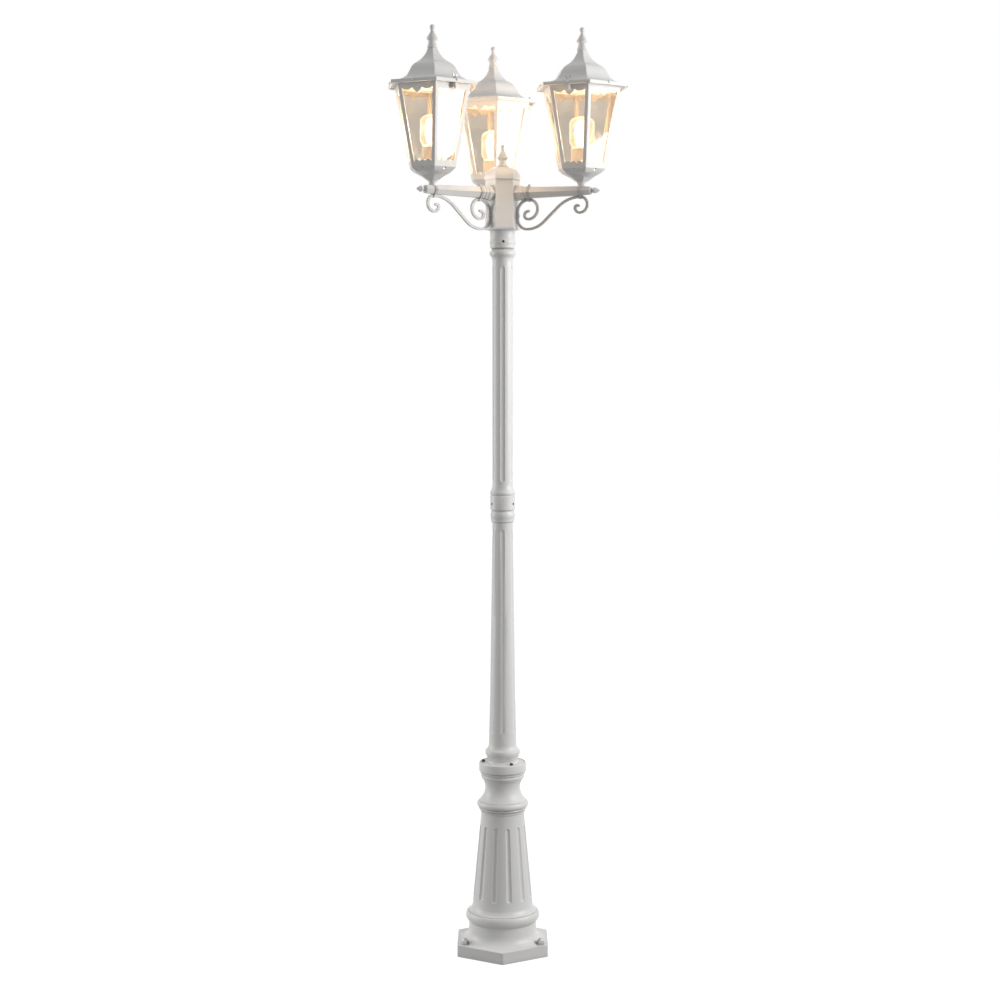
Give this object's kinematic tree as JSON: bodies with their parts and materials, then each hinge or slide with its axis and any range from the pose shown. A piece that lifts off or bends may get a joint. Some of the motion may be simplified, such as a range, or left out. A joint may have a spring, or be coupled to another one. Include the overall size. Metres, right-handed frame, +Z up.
{
  "type": "triple head lamp post",
  "caption": "Garden lamp post with hexagonal lanterns on scrolled arms round a hub, a fluted pole and a cast pedestal bolted down through its hexagonal foot.",
  "frame": {"origin": "centre of the foot's underside, on the post's axis", "axes": "+Z up along the post; -Y is the front, where a corner of the foot points; +X to the right seen from the front"},
  "size_m": [0.5531, 0.544, 2.2005],
  "materials": {
    "white_paint": "satin white paint on cast metal",
    "dark_screws": "black oxide",
    "plated_fasteners": "plated steel, touched with white paint",
    "zinc_fittings": "zinc plated",
    "terminal_plastic": "natural plastic",
    "clear_glass": "clear flat glass",
    "holder_ceramic": "unglazed porcelain",
    "bulb_cap_metal": "bright",
    "lit_bulb": "lit, warm white",
    "wing_screw_metal": "plated steel"
  },
  "bodies": {
    "post": {"pedestal": "white_paint", "flange_screws": "dark_screws", "anchor_washers": "plated_fasteners", "anchor_cap_nuts": "plated_fasteners", "lower_pole": "white_paint", "upper_pole": "white_paint", "mid_grub_screws": "dark_screws", "hub": "white_paint", "head_grub_screws": "dark_screws", "hub_cap": "white_paint", "hub_finial": "white_paint", "terminal_block": "terminal_plastic", "arm_nuts": "zinc_fittings", "arm_clips": "white_paint", "scroll_screws": "plated_fasteners", "cage_screws": "plated_fasteners", "lantern_nipples": "zinc_fittings", "lantern_nuts": "zinc_fittings", "left_arm": "white_paint", "left_arm_tip": "white_paint", "left_scroll": "white_paint", "left_bowl": "white_paint", "left_cage": "white_paint", "left_panes": "clear_glass", "left_lampholder": "holder_ceramic", "right_arm": "white_paint", "right_arm_tip": "white_paint", "right_scroll": "white_paint", "right_bowl": "white_paint", "right_cage": "white_paint", "right_panes": "clear_glass", "right_lampholder": "holder_ceramic", "rear_arm": "white_paint", "rear_arm_tip": "white_paint", "rear_scroll": "white_paint", "rear_bowl": "white_paint", "rear_cage": "white_paint", "rear_panes": "clear_glass", "rear_lampholder": "holder_ceramic"},
    "left_roof": {"left_roof": "white_paint", "left_roof_finial": "white_paint"},
    "left_wing_screw_1": {"left_wing_screw_1": "wing_screw_metal"},
    "left_wing_screw_2": {"left_wing_screw_2": "wing_screw_metal"},
    "left_bulb": {"left_bulb_cap": "bulb_cap_metal", "left_bulb_glass": "lit_bulb"},
    "right_roof": {"right_roof": "white_paint", "right_roof_finial": "white_paint"},
    "right_wing_screw_1": {"right_wing_screw_1": "wing_screw_metal"},
    "right_wing_screw_2": {"right_wing_screw_2": "wing_screw_metal"},
    "right_bulb": {"right_bulb_cap": "bulb_cap_metal", "right_bulb_glass": "lit_bulb"},
    "rear_roof": {"rear_roof": "white_paint", "rear_roof_finial": "white_paint"},
    "rear_wing_screw_1": {"rear_wing_screw_1": "wing_screw_metal"},
    "rear_wing_screw_2": {"rear_wing_screw_2": "wing_screw_metal"},
    "rear_bulb": {"rear_bulb_cap": "bulb_cap_metal", "rear_bulb_glass": "lit_bulb"}
  },
  "joints": [
    {"name": "left_roof_lift", "type": "slide", "parent": "post", "child": "left_roof", "axis": [0, 0, 1], "range_m": [0, 0.12]},
    {"name": "left_wing_screw_1_turn", "type": "hinge", "parent": "left_roof", "child": "left_wing_screw_1", "pos_m": [-0.10741, -0.19149, 2.0696], "axis": [0, 0, 1], "range_deg": [0, 3600]},
    {"name": "left_wing_screw_2_turn", "type": "hinge", "parent": "left_roof", "child": "left_wing_screw_2", "pos_m": [-0.21436, -0.04748, 2.0696], "axis": [0, 0, 1], "range_deg": [0, 3600]},
    {"name": "left_bulb_turn", "type": "hinge", "parent": "post", "child": "left_bulb", "pos_m": [-0.16088, -0.11948, 1.93], "axis": [0, 0, 1], "range_deg": [0, 1440]},
    {"name": "right_roof_lift", "type": "slide", "parent": "post", "child": "right_roof", "axis": [0, 0, 1], "range_m": [0, 0.12]},
    {"name": "right_wing_screw_1_turn", "type": "hinge", "parent": "right_roof", "child": "right_wing_screw_1", "pos_m": [0.21954, 0.00273, 2.0696], "axis": [0, 0, 1], "range_deg": [0, 3600]},
    {"name": "right_wing_screw_2_turn", "type": "hinge", "parent": "right_roof", "child": "right_wing_screw_2", "pos_m": [0.1483, -0.16191, 2.0696], "axis": [0, 0, 1], "range_deg": [0, 3600]},
    {"name": "right_bulb_turn", "type": "hinge", "parent": "post", "child": "right_bulb", "pos_m": [0.18392, -0.07959, 1.93], "axis": [0, 0, 1], "range_deg": [0, 1440]},
    {"name": "rear_roof_lift", "type": "slide", "parent": "post", "child": "rear_roof", "axis": [0, 0, 1], "range_m": [0, 0.12]},
    {"name": "rear_wing_screw_1_turn", "type": "hinge", "parent": "rear_roof", "child": "rear_wing_screw_1", "pos_m": [-0.11213, 0.18876, 2.0696], "axis": [0, 0, 1], "range_deg": [0, 3600]},
    {"name": "rear_wing_screw_2_turn", "type": "hinge", "parent": "rear_roof", "child": "rear_wing_screw_2", "pos_m": [0.06607, 0.20938, 2.0696], "axis": [0, 0, 1], "range_deg": [0, 3600]},
    {"name": "rear_bulb_turn", "type": "hinge", "parent": "post", "child": "rear_bulb", "pos_m": [-0.02303, 0.19907, 1.93], "axis": [0, 0, 1], "range_deg": [0, 1440]}
  ]
}
